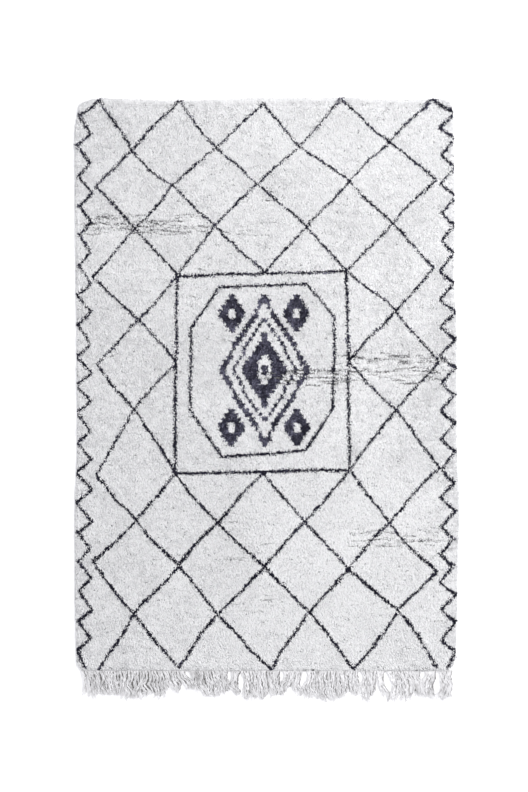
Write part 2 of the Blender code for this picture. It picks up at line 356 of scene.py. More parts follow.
def partPile(x, y, lean, rng):
    # the pile above a crack ends at it and the pile below bends away, so that a gap shows; its depth is also
    # painted as shadow low down in the gap
    depth, shift = np.zeros(len(x)), np.zeros(len(x))
    reach, ending = parting["reach"], parting["ending"]
    for deep, *points in (*cracks, *faintCracks(rng)):
        points = np.array(points)
        first, last = points[0, 0], points[-1, 0]
        near = (x > first - ending) & (x < last + ending)
        near = np.flatnonzero(near & (np.abs(y - points[:, 1].mean()) < parting["breadth"]))
        tipX = x[near] + lean[near, 0]
        line = np.interp(tipX, points[:, 0], points[:, 1])
        line += ripples(tipX, 0 * tipX + points[0, 1], parting["shake"], 51)
        strength = deep * clipped(np.minimum(tipX - first, last - tipX) / ending + 0.5)
        above = y[near] - line
        tip = above + lean[near, 1]
        held = (above > 0) & (tip < 0) & (strength > parting["holding"])
        lean[near, 1] -= np.where(held, tip, 0.0)
        below = (above <= 0) & (above > -reach)
        nearness = clipped(1.0 - np.abs(above) / reach)
        shift[near] += np.where(below, -1.0, 0.5) * nearness * strength * parting["opening"]
        depth[near] = np.maximum(depth[near], strength * clipped(1.6 * nearness))
    # parted rows add to the depth, which is painted as shadow
    rows = clipped((ripples(0.45 * x, y, parting["rows"], 89) - 0.3) / 0.7)
    return np.maximum(depth, parting["rowDepth"] * rows), shift - parting["rowShift"] * rows


# A tuft: its faces and how far up the knot they start, its width, and how far it stands aside and leans back
Tuft = namedtuple("Tuft", "faces start width aside back")
flatTuft = Tuft(1, 0.0, 0.0, 0.0, 0.0)

pile = {
    "knotPitch": 0.0103,  # across the rug
    "rowPitch": 0.0077,  # along it
    "jitter": (0.0032, 0.0012),
    "edgeGap": 0.0022,
    "locks": (Tuft(2, 0.0, 0.0068, 0.0, 0.0), Tuft(1, 0.5, 0.0066, -0.0034, 0.015),
              Tuft(1, 0.5, 0.0066, 0.0034, 0.0045)),
    "lockShape": ((0.0, 0.8), (0.55, 1.0), (1.0, 0.44)),  # a lock's breadth along it
    "packedSize": (0.015, 0.012),  # wool packed under the locks
    "packedHeight": 0.72,  # of the pile's height
    "packedTilt": 0.03,
    "packedTurn": 0.3,
    "packedRise": 0.42,  # how high it counts for the painted shade at the root and in folds
    "roll": 0.07,
    "loop": (0.0086, 0.0062),  # the knot's loop, seen at the back
    "loopHeight": 0.0003,  # nothing sinks lower, into the floor
    "rootHeight": 0.0006,
    "nap": (0.0006, -0.009),  # the pile lies towards the fringe
    "seen": 0.72,  # how far up its lean a lock shows most
    "clump": 0.018,  # size of a clump of locks
    "clumping": 0.08,
    "looseness": 0.0028,
    "swirls": ((0.0018, 0.16), (0.0018, 0.13)),
    "unevenness": 0.02,
    "hills": (0.03, 0.03),
    "ridges": (0.04, 0.009),
    "lowest": 0.004,
    "rimReach": 0.034,  # from here out the pile leans over the edge
    "rimLean": (0.007, 0.013, 0.0035, 0.0085),  # at the left, right, near and far edges
    "nearLean": 0.004,  # the near edge leans this much more at the right
    "longOnes": (0.06, 0.002, 0.007),  # a few rim locks fall further: their share, and how far
    # painted light at the left rim and painted shade at the right rim
    "rimPaintedLightAndShade": (-0.25, 0.11, 0.0, 0.0),
    "rimSpacing": (0.0068, 0.002),  # knots along the edge, and their jitter
    "farSpacing": (0.008, 0.003),
    "cornerGap": 0.03,
    "rimRows": ((0.0035, 0.005, 0.009), (0.0085, 0.009, 0.014), (0.0145, 0.013, 0.018)),  # inset, heights
    "farRows": (  # the nap leaves the far edge thin
        (0.011, 0.011, 0.016), (0.0175, 0.014, 0.019), (0.0205, 0.015, 0.02), (0.024, 0.016, 0.021),
    ),
    "pieces": 5,
}

# The wool's shade from knot to knot, from 0 to 1
shading = {
    "cream": 0.91,
    "lockSpread": 0.19,
    "knotSpread": 0.1,
    "patches": (0.035, 0.03),  # how much it varies, and over what length
    # painted shade: rows of paler and duller knots, for the shade between rows
    "rows": (0.42, 0.0098),
    # painted shade: the packed wool under the locks is darker, for the shade between the locks
    "packedPaintedShade": 0.28,
    "paler": (  # broad patches of paler and duller wool
        (0.35, -1.2, 0.55, 0.5, 0.29), (0.2, 1.25, 0.45, 0.45, 0.1), (0.35, -0.65, 0.42, 0.34, 0.14),
        (0.85, 0.05, 0.3, 0.6, -0.16), (-0.92, 1.35, 0.25, 0.4, -0.18), (-0.6, -0.1, 0.45, 0.5, -0.08),
    ),
    "sideReach": 0.1,  # painted shade: the pile is darker along both sides, where less light reaches it
    "sidePaintedShade": 0.17,
    "lineFade": 0.05,  # how faded the dark yarn is
    "lineFarFade": 0.35,
    "lineEdgeFade": 0.27,
    "fillFade": 0.27,
    "fadeSpread": 0.75,
    "fadePatches": (0.8, 0.05),
    "fillMottle": (0.9, 0.016),
}


def clumpPull(x, y, rng):
    # the nearest of the clump middles round each tuft
    size = pile["clump"]
    count = int(4.0 / size)  # enough of them to cover the rug
    middles = rng.uniform(-0.42, 0.42, (count, count, 2))
    i, j = np.floor(x / size).astype(int), np.floor(y / size).astype(int)
    best = np.full(len(x), 9.0)
    pull = np.zeros((len(x), 2))
    for di in (-1, 0, 1):
        for dj in (-1, 0, 1):
            offset = middles[(i + di) % count, (j + dj) % count]
            dx = (i + di + 0.5 + offset[:, 0]) * size - x
            dy = (j + dj + 0.5 + offset[:, 1]) * size - y
            away = np.hypot(dx, dy)
            closer = away < best
            best[closer] = away[closer]
            pull[closer] = np.stack([dx, dy], 1)[closer]
    return pull


def knotGrid(rng):
    # rows of knots, each half a knot beside the last; the grid is a little larger than the rug
    columns = int(2.04 * halfWidth / pile["knotPitch"])
    rows = int(2.04 * halfLength / pile["rowPitch"])
    i, j = np.meshgrid(np.arange(columns), np.arange(rows))
    x = (i - columns / 2 + 0.5 + 0.5 * (j % 2) - 0.25) * pile["knotPitch"]
    y = (j - rows / 2 + 0.5) * pile["rowPitch"]
    x = x.ravel() + rng.uniform(-1, 1, x.size) * pile["jitter"][0]
    y = y.ravel() + rng.uniform(-1, 1, y.size) * pile["jitter"][1]
    inside = edgesAt(x, y).min(0) > pile["edgeGap"]
    return x[inside], y[inside]


def rimKnots(rng):
    # more knots set close along the edge, the outer rows lower, which fall over it
    x, y, heights = [], [], []

    def stations(half, pitch, jitter):
        places = np.arange(-half + pile["cornerGap"], half - pile["cornerGap"], pitch)
        return places + rng.uniform(-jitter, jitter, len(places))

    def addRow(rowX, rowY, low, high):
        x.append(rowX)
        y.append(rowY)
        heights.append(rng.uniform(low, high, len(rowX)))

    for inset, low, high in pile["rimRows"]:
        along = stations(halfLength, *pile["rimSpacing"])
        across = stations(halfWidth, *pile["rimSpacing"])
        addRow(np.interp(along, *leftLine) + inset, along, low, high)
        addRow(np.interp(along, *rightLine) - inset, along, low, high)
        addRow(across, np.interp(across, *nearLine) + inset, 0.5 * low, 0.6 * high)
        addRow(across, np.interp(across, *farLine) - inset, low, high)
    for inset, low, high in pile["farRows"]:
        across = stations(halfWidth, *pile["farSpacing"])
        addRow(across, np.interp(across, *farLine) - inset, low, high)
    return np.concatenate(x), np.concatenate(y), np.concatenate(heights)


def asTemplate(bm, layer):
    bm.verts.index_update()
    points = np.array([v.co[:] for v in bm.verts])
    faces = [[loop.vert.index for loop in face.loops] for face in bm.faces]
    uvs = np.array([loop[layer].uv[:] for face in bm.faces for loop in face.loops])
    bm.free()
    return points, faces, uvs


def knotTemplate(tufts):
    # a knot's tufts; the coordinates are across, which one, and along
    bm = bmesh.new()
    layer = bm.loops.layers.uv.new("OFBake")
    for number, tuft in enumerate(tufts):
        made = bmesh.ops.create_grid(bm, x_segments=1, y_segments=tuft.faces, size=0.5, calc_uvs=False)
        for vert in made["verts"]:
            vert.co = (vert.co.x, number, tuft.start + (1.0 - tuft.start) * (vert.co.y + 0.5))
        for face in {face for vert in made["verts"] for face in vert.link_faces}:
            for loop in face.loops:
                across, _, along = loop.vert.co
                loop[layer].uv = ((number + 0.5 + 0.92 * across) / len(tufts), along)
    return asTemplate(bm, layer)


def inScene(name, data):
    holder = bpy.data.objects.new(name, data)
    bpy.context.scene.collection.objects.link(holder)
    return holder


def joinedCopies(name, template, placed, shades, material):
    # placed holds the template's points for every copy; shades are attributes of the copies or their points
    points, faces, uvs = template
    copies = len(placed)
    perCopy = np.concatenate(faces)
    sizes = np.array([len(face) for face in faces])
    corners = (perCopy[None, :] + len(points) * np.arange(copies)[:, None]).ravel()
    starts = np.concatenate([[0], np.cumsum(np.tile(sizes, copies))[:-1]])
    mesh = bpy.data.meshes.new(name)
    mesh.vertices.add(copies * len(points))
    mesh.vertices.foreach_set("co", placed.reshape(-1).astype(np.float32))
    mesh.loops.add(len(corners))
    mesh.loops.foreach_set("vertex_index", corners.astype(np.int32))
    mesh.polygons.add(copies * len(faces))
    mesh.polygons.foreach_set("loop_start", starts.astype(np.int32))
    mesh.update(calc_edges=True)
    mesh.polygons.foreach_set("use_smooth", np.ones(copies * len(faces), bool))
    for attribute, values in shades.items():
        layer = mesh.attributes.new(attribute, "FLOAT", "POINT")
        layer.data.foreach_set("value", np.broadcast_to(values, placed.shape[:2]).astype(np.float32).ravel())
    side = math.ceil(math.sqrt(copies))  # every copy has a small square of its own on the map
    cell = np.stack([np.arange(copies) % side, np.arange(copies) // side], 1)
    placedUvs = (cell[:, None, :] + 0.1 + 0.8 * uvs[None]) / side
    layer = mesh.uv_layers.new(name="OFBake")
    layer.data.foreach_set("uv", placedUvs.reshape(-1).astype(np.float32))
    mesh.materials.append(material)
    mesh.validate()
    return inScene(name, mesh)


def plantedKnots(rng):
    # each knot's place, its nearest edge (left, right, near or far) and how near, up to 1 at the rim
    x, y = knotGrid(rng)
    rimX, rimY, rimHeights = rimKnots(rng)
    isRim = np.concatenate([np.zeros(len(x), bool), np.ones(len(rimX), bool)])
    x, y = np.concatenate([x, rimX]), np.concatenate([y, rimY])
    edges = edgesAt(x, y)
    side = edges.argmin(0)
    return SimpleNamespace(
        x=x, y=y, count=len(x), top=pileTopAt(x, y), isRim=isRim, rimHeights=rimHeights,
        rim=clipped(1.0 - edges.min(0) / pile["rimReach"]),
        side=side, atNear=side == 2, atFar=side == 3, sideGap=edges[:2].min(0),
    )


def leanKnots(knots, rng):
    # the pile follows the nap, draws into clumps, parts over the folds and falls over the rim
    x, y, rim, count = knots.x, knots.y, knots.rim, knots.count
    lean = np.tile(pile["nap"], (count, 1)) * (1.0 - np.minimum(1.2 * rim, 1.0))[:, None]
    lean += clumpPull(x, y, rng) * pile["clumping"] * (1.0 - 0.6 * rim)[:, None]
    for axis, swirl in enumerate(pile["swirls"]):
        lean[:, axis] += ripples(x, y, swirl, 81 + axis)
    knots.depth, shift = partPile(x, y, lean, rng)
    knots.y = y + shift
    fall = np.array(pile["rimLean"])[knots.side] * rim
    fall += np.where(knots.atNear, pile["nearLean"] * clipped(x + 0.5) * rim, 0.0)
    fall *= np.where(knots.atFar, rng.uniform(0.85, 1.08, count), rng.uniform(0.55, 1.25, count))
    share, least, most = pile["longOnes"]
    isLong = (rng.random(count) < share) & ~knots.atFar & knots.isRim
    fall += np.where(isLong, rng.uniform(least, most, count), 0.0)
    outward = np.array([(-1, 0), (1, 0), (0, -1), (0, 1)])[knots.side]
    knots.lean = lean + outward * fall[:, None]


def raiseKnots(knots, rng):
    x, y, rim = knots.x, knots.y, knots.rim
    height = knots.top * (1.0 + pile["unevenness"] * rng.normal(0.0, 0.6, knots.count))
    height *= 1.0 + ripples(x, y, pile["hills"], 83) + ripples(0.25 * x, y, pile["ridges"], 87)
    height *= 1.0 - 0.1 * knots.depth
    height *= 1.0 - 0.3 * np.where(knots.atNear, clipped(2.5 * rim - 1.5), rim ** 2)
    height[knots.isRim] = knots.rimHeights
    knots.height = np.clip(height, pile["lowest"], cadHigh.z + pile["lowest"])


def shadeKnots(knots, tufts, rng):
    # each tuft's shade, and whether its wool is dark
    x, y, rim, count = knots.x, knots.y, knots.rim, knots.count
    tones = shading["cream"] + rng.normal(0.0, shading["lockSpread"], (count, len(tufts)))
    tones = tones + rng.normal(0.0, shading["knotSpread"], (count, 1))
    # random patches, and rows painted paler and duller as the shade between rows
    tones += (ripples(x, y, shading["patches"], 84) + ripples(0.4 * x, y, shading["rows"], 85))[:, None]
    # painted shade: the packed wool under the locks is darkened
    tones[:, tufts.index(flatTuft)] -= shading["packedPaintedShade"]
    tones += spread(x, y, shading["paler"])[:, None]
    # painted light at the left rim, painted shade at the right rim
    tones -= (np.array(pile["rimPaintedLightAndShade"])[knots.side] * rim ** 1.5)[:, None]
    # painted shade along both sides of the rug
    sideway = clipped(1.0 - knots.sideGap / shading["sideReach"])
    tones -= shading["sidePaintedShade"] * sideway[:, None]
    knots.back = np.array([tuft.back for tuft in tufts]) * (1.0 - rim[:, None])
    knots.back *= clipped(1.2 - 3.0 * knots.depth)[:, None]

    knots.dark = np.empty((count, len(tufts)), bool)
    napX, napY = np.array(pile["nap"]) * pile["seen"]
    patches = ripples(x, y, shading["fadePatches"], 86)
    mottle = ripples(x, y, shading["fillMottle"], 88)
    for number, tuft in enumerate(tufts):
        tipX, tipY = x + napX - tuft.aside, y + napY + pile["seen"] * knots.back[:, number]
        onLine, inFill, reach = darkLocks(tipX, tipY, rng.random(count))
        knots.dark[:, number] = onLine | inFill
        faded = shading["lineFade"] * np.exp(shading["lineFarFade"] * y / halfLength)
        faded = faded + shading["lineEdgeFade"] * clipped(reach - 0.5)
        faded = np.where(onLine, faded, shading["fillFade"] * np.exp(mottle))
        faded *= np.exp(patches + shading["fadeSpread"] * rng.normal(0.0, 1.0, count))
        tones[:, number] = np.where(knots.dark[:, number], faded, tones[:, number])
    knots.tones = tones


def setLock(knots, placed, points, which, number, lock, rng):
    # a lock stands up from the knot, then bends over along its lean
    count, height = knots.count, knots.height
    run = knots.lean + rng.normal(0.0, pile["looseness"], (count, 2))
    run[:, 1] += knots.back[:, number]
    beside = np.stack([run[:, 1], -run[:, 0]], 1) / np.linalg.norm(run, axis=1)[:, None]
    apart = rng.uniform(-1, 1, (count, 2)) * 0.001 + lock.aside * beside
    width = lock.width * rng.uniform(0.8, 1.2, count)
    roll = rng.normal(0.0, pile["roll"], count)
    high = height * rng.uniform(0.97, 1.02, count)
    root = pile["rootHeight"]
    for point in np.flatnonzero(which == number):
        across, _, along = points[point]
        breadth = across * np.interp(along, *zip(*pile["lockShape"])) * width
        lift = 1.0 - (1.0 - along) ** 2.4
        flat = np.stack([knots.x, knots.y], 1) + apart + run * along ** 1.8
        placed[:, point, :2] = flat + beside * (breadth * np.cos(roll))[:, None]
        placed[:, point, 2] = root + (high - root) * lift + breadth * np.sin(roll)


def setPacked(knots, placed, points, which, number, rng):
    # the flat tuft under the locks, which draws in where the pile parts
    count = knots.count
    packedX, packedY = pile["packedSize"]
    turn = rng.normal(0.0, pile["packedTurn"], count)
    middle = np.stack([knots.x, knots.y], 1) + 0.5 * knots.lean + rng.normal(0.0, 0.0012, (count, 2))
    slopes = rng.normal(0.0, pile["packedTilt"], (count, 2))
    for point in np.flatnonzero(which == number):
        across, _, along = points[point]
        u, v = -across * packedX, (along - 0.5) * packedY
        offset = np.stack([u * np.cos(turn) - v * np.sin(turn), u * np.sin(turn) + v * np.cos(turn)], 1)
        offset *= 1.0 - 0.45 * clipped(2.0 * knots.depth - 0.5)[:, None]
        placed[:, point, :2] = middle + offset
        placed[:, point, 2] = knots.height * pile["packedHeight"] + (offset * slopes).sum(1)


def buildKnotBacks(x, y, tones, material):
    # the dark knots' own loops, which show the pattern at the back
    template = knotTemplate((flatTuft,))
    points = template[0]
    placed = np.empty((len(x), len(points), 3))
    loopX, loopY = pile["loop"]
    level = pile["loopHeight"] + 0 * x
    for number, (across, _, along) in enumerate(points):
        placed[:, number] = np.stack([x - across * loopX, y + (along - 0.5) * loopY, level], 1)
    shades = {
        "dark": np.ones((1, 1)),
        "fold": np.zeros((1, 1)),
        "shade": tones[:, None],
        "rise": np.ones((1, 1)),
        "across": 2 * points[None, :, 0],
    }
    piece = joinedCopies("knot_backs", template, placed, shades, material)
    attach(piece, "root")
    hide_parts("rug_body")
    print("knot backs:", len(x))
    return piece


def buildPile(material):
    rng = np.random.default_rng(7)
    knots = plantedKnots(rng)
    leanKnots(knots, rng)
    raiseKnots(knots, rng)
    packed = len(pile["locks"])
    loop = packed + 1
    tufts = (*pile["locks"], flatTuft, flatTuft)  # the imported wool, and the loop at the back
    shadeKnots(knots, tufts, rng)

    template = knotTemplate(tufts[:loop])
    points = template[0]
    which = points[:, 1].astype(int)
    placed = np.empty((knots.count, len(points), 3))
    for number, lock in enumerate(pile["locks"]):
        setLock(knots, placed, points, which, number, lock, rng)
    setPacked(knots, placed, points, which, packed, rng)
    placed[:, :, 2] = np.maximum(placed[:, :, 2], pile["loopHeight"])

    pieces = []
    isPacked = which == packed
    shade = clipped(knots.tones)[:, which]
    for number, part in enumerate(np.array_split(np.argsort(knots.x, kind="stable"), pile["pieces"])):
        part = part[np.argsort(np.round(knots.y[part] / pile["rowPitch"]), kind="stable")]
        shades = {
            "dark": knots.dark[part][:, which],
            # painted shadow in cracks and partings: full on the packed wool, half on the locks
            "fold": knots.depth[part][:, None] * np.where(isPacked, 1.0, 0.5)[None],
            "shade": shade[part],
            "rise": np.where(isPacked, pile["packedRise"], points[:, 2])[None],
            "across": 2 * points[None, :, 0],
        }
        piece = joinedCopies(f"pile_{number + 1}", template, placed[part], shades, material)
        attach(piece, "root")
        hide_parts("rug_body")
        pieces.append(piece)
    print("pile:", knots.count, "knots in", len(pieces), "pieces")
    loops = knots.dark[:, loop] & ~knots.isRim
    pieces.append(buildKnotBacks(knots.x[loops], knots.y[loops], knots.tones[loops, loop], material))
    return pieces


foundation = {
    "cells": (24, 36),
    "top": 0.0034,
    "bottom": 0.001,
    "selvedge": 0.003,  # radius of the bound edge
    "selvedgeInset": 0.4,  # of that radius
    "selvedgeLift": 0.0004,
    "selvedgeStep": 0.03,
    "cornerGap": 0.035,
    "selvedgeTone": 0.5,
}


def linked(name, bm, material):
    bmesh.ops.recalc_face_normals(bm, faces=bm.faces)
    mesh = bpy.data.meshes.new(name)
    bm.to_mesh(mesh)
    bm.free()
    mesh.materials.append(material)
    mesh.polygons.foreach_set("use_smooth", np.ones(len(mesh.polygons), bool))
    return inScene(name, mesh)


def buildFoundation(material):
    bm = bmesh.new()
    across, along = foundation["cells"]
    bmesh.ops.create_grid(bm, x_segments=across, y_segments=along, size=1.0)
    for vert in bm.verts:
        u, v = (vert.co.x + 1) / 2, (vert.co.y + 1) / 2
        x = (2 * u - 1) * halfWidth
        near, far = np.interp(x, *nearLine), np.interp(x, *farLine)
        y = near + (far - near) * v
        left, right = np.interp(y, *leftLine), np.interp(y, *rightLine)
        vert.co = (left + (right - left) * u, y, foundation["bottom"])
    made = bmesh.ops.extrude_face_region(bm, geom=bm.faces[:], use_keep_orig=True)["geom"]
    raised = [item for item in made if isinstance(item, bmesh.types.BMVert)]
    bmesh.ops.translate(bm, vec=(0, 0, foundation["top"] - foundation["bottom"]), verts=raised)
    piece = linked("foundation", bm, material)
    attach(piece, "root")
    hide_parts("rug_body")
    return piece


def tubeTemplate(sections, sides=4):
    # rings one after another, closed at both ends; the coordinates are round the ring and along
    bm = bmesh.new()
    layer = bm.loops.layers.uv.new("OFBake")
    bmesh.ops.create_circle(bm, segments=sides, radius=1.0)
    ring = bm.edges[:]
    for section in range(1, sections):
        made = bmesh.ops.extrude_edge_only(bm, edges=ring)["geom"]
        verts = {item for item in made if isinstance(item, bmesh.types.BMVert)}
        for vert in verts:
            vert.co.z = section / (sections - 1)
        ring = [edge for edge in bm.edges if verts.issuperset(edge.verts)]
    bmesh.ops.holes_fill(bm, edges=bm.edges, sides=sides)
    bmesh.ops.recalc_face_normals(bm, faces=bm.faces)
    turn = 2 * math.pi / sides
    for face in bm.faces:  # each side is a strip of the map, and the ends are spots above and below
        middle = face.calc_center_median()
        for loop in face.loops:
            here = loop.vert.co
            if abs(face.normal.z) > 0.5:
                loop[layer].uv = (0.5 + 0.1 * here.x, 0.03 + 0.94 * round(here.z) + 0.02 * here.y)
                continue
            start = math.atan2(middle.y, middle.x)
            swing = (math.atan2(here.y, here.x) - start + math.pi) % (2 * math.pi) - math.pi
            number = int((start / turn - 0.25) % sides)
            loop[layer].uv = ((number + 0.5 + 0.94 * swing / turn) / sides, 0.07 + 0.86 * here.z)
    return asTemplate(bm, layer)


def tubes(name, paths, radii, shades, material):
    # round yarns along paths of the same number of points, with one radius and shade or one for each point
    paths = np.array(paths)
    radii, shades = (np.broadcast_to(values, paths.shape[:2]) for values in (radii, shades))
    template = tubeTemplate(paths.shape[1])
    points = template[0]
    runs = np.gradient(paths, axis=1)
    runs /= np.linalg.norm(runs, axis=2)[:, :, None]
    beside = np.cross(runs, (0, 0, 1.0))
    beside /= np.linalg.norm(beside, axis=2)[:, :, None]
    above = np.cross(beside, runs)
    ring = np.round(points[:, 2] * (paths.shape[1] - 1)).astype(int)
    offset = beside[:, ring] * points[None, :, 0:1] + above[:, ring] * points[None, :, 1:2]
    placed = paths[:, ring] + radii[:, ring, None] * offset
    placed[:, :, 2] = np.maximum(placed[:, :, 2], 0.0002)  # none sinks into the floor
    values = {"shade": shades[:, ring], "rise": points[None, :, 2]}
    return joinedCopies(name, template, placed, values, material)


def inLengths(path, count):
    # a long path as shorter ones that meet, each of count points
    return [path[k:k + count] for k in range(0, len(path) - count + 1, count - 1)]


def buildSelvedges(material):
    radius, gap = foundation["selvedge"], foundation["cornerGap"]
    paths = []
    for line, inward in ((leftLine, 1.0), (rightLine, -1.0)):
        y = np.arange(-halfLength + gap, halfLength - gap, foundation["selvedgeStep"])
        x = np.interp(y, *line) + inward * foundation["selvedgeInset"] * radius
        z = np.full(len(y), radius + foundation["selvedgeLift"])
        paths += inLengths(np.stack([x, y, z], 1), fringe["steps"])
    piece = tubes("selvedges", paths, radius, foundation["selvedgeTone"], material)
    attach(piece, "root")
    return piece


# How long the strands are at places across the rug
fringeReach = (
    (-0.98, 0.106), (-0.92, 0.136), (-0.82, 0.118), (-0.69, 0.154), (-0.61, 0.128), (-0.56, 0.138),
    (-0.5, 0.098), (-0.44, 0.112), (-0.42, 0.086), (-0.38, 0.098), (-0.29, 0.134), (-0.19, 0.114),
    (-0.08, 0.15), (0.09, 0.128), (0.13, 0.09), (0.19, 0.134), (0.28, 0.15), (0.38, 0.15),
    (0.44, 0.11), (0.53, 0.16), (0.59, 0.104), (0.64, 0.154), (0.74, 0.154), (0.82, 0.126),
    (0.9, 0.15), (0.98, 0.15),
)

# How far they lean to the right as they run down
fringeLeans = (
    (-0.98, 0.05), (-0.93, 0.4), (-0.87, 0.42), (-0.79, 0.1), (-0.7, 0.0), (-0.6, 0.1),
    (-0.53, 0.6), (-0.47, 0.35), (-0.41, 0.75), (-0.34, 0.45), (-0.24, 0.1), (-0.14, -0.05),
    (0.02, 0.08), (0.16, -0.1), (0.3, 0.05), (0.44, 0.15), (0.54, -0.1), (0.64, 0.15),
    (0.72, 0.35), (0.78, 0.25), (0.85, -0.15), (0.93, 0.05), (0.98, 0.0),
)

# Where the fringe parts, and how wide
fringeOpenings = (
    (-0.523, 0.018), (-0.414, 0.03), (-0.187, 0.016), (-0.134, 0.018), (0.087, 0.02), (0.205, 0.03),
    (0.485, 0.018), (0.577, 0.024), (0.632, 0.026), (0.752, 0.03), (0.909, 0.024),
)

# Eyes where the yarns bulge apart: across, start and end from the heading, and width
fringeEyes = (
    (-0.533, 0.06, 0.17, 0.034), (-0.47, 0.07, 0.15, 0.028), (-0.42, -0.016, 0.05, 0.036),
    (-0.19, -0.016, 0.064, 0.032), (-0.134, 0.008, 0.11, 0.034), (0.084, -0.016, 0.07, 0.032),
    (0.135, 0.074, 0.15, 0.026), (0.208, -0.014, 0.084, 0.042), (0.487, -0.004, 0.074, 0.032),
    (0.582, 0.026, 0.12, 0.032), (0.628, -0.004, 0.118, 0.034), (0.688, 0.064, 0.13, 0.026),
    (0.744, 0.034, 0.12, 0.04), (0.83, -0.018, 0.052, 0.042), (0.9, -0.012, 0.06, 0.028),
    (0.906, 0.044, 0.112, 0.036),
)

# Darker places among the yarns: across, distance from the heading, size both ways and how dark
fringeShadows = (
    (-0.895, 0.07, 0.05, 0.045, -0.3), (-0.7, 0.078, 0.018, 0.03, -0.4),
    (-0.615, 0.045, 0.016, 0.03, -0.25), (-0.355, 0.03, 0.045, 0.04, -0.45),
    (-0.22, 0.035, 0.03, 0.03, -0.3), (0.28, 0.012, 0.024, 0.02, -0.35),
    (0.67, 0.07, 0.03, 0.022, -0.25), (0.79, 0.09, 0.028, 0.035, -0.35),
    (0.87, 0.078, 0.03, 0.032, -0.35), (0.93, 0.1, 0.02, 0.03, -0.25),
)

fringe = {
    "strands": 128,
    "stripLength": 1.972,
    "rootsFrom": (-0.972, 0.982),
    "stripDepth": 0.009,
    "stripGap": 0.0003,
    "underHeading": 0.006,  # how far in the yarns start
    "tipDrift": 0.08,  # a strand's length is read this far along its lean
    "longer": 0.01,  # than the table, less up to the spread below
    "lengthSpread": 0.02,
    "longest": 0.15,
    "bunchWidth": (0.045, 0.095),
    "bunchOpening": (0.008, 0.018),
    "bunchLean": 0.4,
    "bunching": 0.55,  # how far a bunch draws in, of the way to its tip
    "eyeReach": 0.026,  # an eye bends the yarns this far round it
    "ply": 0.0014,  # radius of one of a yarn's two plies
    "twist": 0.05,  # length of one turn
    "fraying": 0.8,  # the plies part from here on, of the yarn's length
    "steps": 18,
    "yarnsApart": (-0.0034, 0.0, 0.0034),
    "underYarns": 2,
    "underRadius": 0.0023,
    "underHeights": (0.0024, 0.0026),  # at the heading, and half way down
    "yarnHeights": (0.0048, 0.0054),
    "pileUp": 0.004,
    "sweep": (0.015, 0.045),  # yarns side by side wave together: how far, and over what length
    "strandWander": (0.0072, 0.038),  # and a strand, and a yarn, on its own
    "yarnWander": (0.0038, 0.032),
    "kink": 0.0019,
    "curl": 0.01,  # a tip turns aside by up to this
    "strays": 60,
    "strayFrom": (-0.96, 0.97),
    "strayWander": (0.012, 0.06),
    "strayHeights": (0.005, 0.01),
}
strandPitch = (fringe["rootsFrom"][1] - fringe["rootsFrom"][0]) / fringe["strands"]

# Two twisted cords along the strip
heading = {
    "cords": ((-0.0026, 1), (-0.007, -1)),  # place, and which way each is twisted
    "height": 0.0042,
    "ply": 0.0012,  # how far each of its two plies winds out
    "radius": 0.0015,
    "twist": 0.0135,
    "step": 0.0054,
    "overrun": 0.02,
    # painted shade: the cords are darker here and there; painted light makes them paler towards the right
    "tones": (0.55, 1.0),
    "rightPaintedLight": 0.25,
}


def lengthAt(across):
    for (lowX, low), (highX, high) in zip(fringeReach, fringeReach[1:]):
        if across <= highX:
            share = min(max((across - lowX) / (highX - lowX), 0.0), 1.0)
            share = share * share * (3 - 2 * share)
            return low + (high - low) * share
    return fringeReach[-1][1]


def fringeBunches(rng):
    half = fringe["stripLength"] / 2
    borders = [(-half, 0.0)]
    for end, width in fringeOpenings + ((half, 0.0),):
        start = borders[-1][0]
        parts = max(round((end - start) / rng.uniform(*fringe["bunchWidth"])), 1)
        for part in range(1, parts):
            across = start + (end - start) * (part + rng.uniform(-0.2, 0.2)) / parts
            borders.append((across, rng.uniform(*fringe["bunchOpening"])))
        borders.append((end, width))
    bunches = []
    for (left, leftWidth), (right, rightWidth) in zip(borders, borders[1:]):
        lean = rng.uniform(-leftWidth, rightWidth) * fringe["bunchLean"]
        bunches.append(((left, right), (left + leftWidth / 2 + lean, right - rightWidth / 2 + lean)))
    return bunches


def eyesAt(root, distance):
    # how far each eye lies aside of a strand, its width, how near it counts, and how open it is
    for across, start, end, width in fringeEyes:
        along = clipped((distance - start) / (end - start))
        aside = root - across
        yield aside, width, math.exp(-abs(aside) / fringe["eyeReach"]), np.sin(along * math.pi)


def openness(root, distance):
    return np.max([nearness * opened for _, _, nearness, opened in eyesAt(root, distance)], 0)


def strandPlace(bunches, root, distance):
    roots, tips = next(bunch for bunch in bunches if root <= bunch[0][1])
    share = (root - roots[0]) / (roots[1] - roots[0])
    tip = root + (tips[0] + (tips[1] - tips[0]) * share - root) * fringe["bunching"]
    closing = distance / fringe["longest"]
    x = root + (tip - root) * closing * (1.6 - 0.6 * closing)
    for aside, width, nearness, opened in eyesAt(root, distance):
        x += math.copysign(0.5 * width * nearness, aside) * opened ** 0.7
    return x


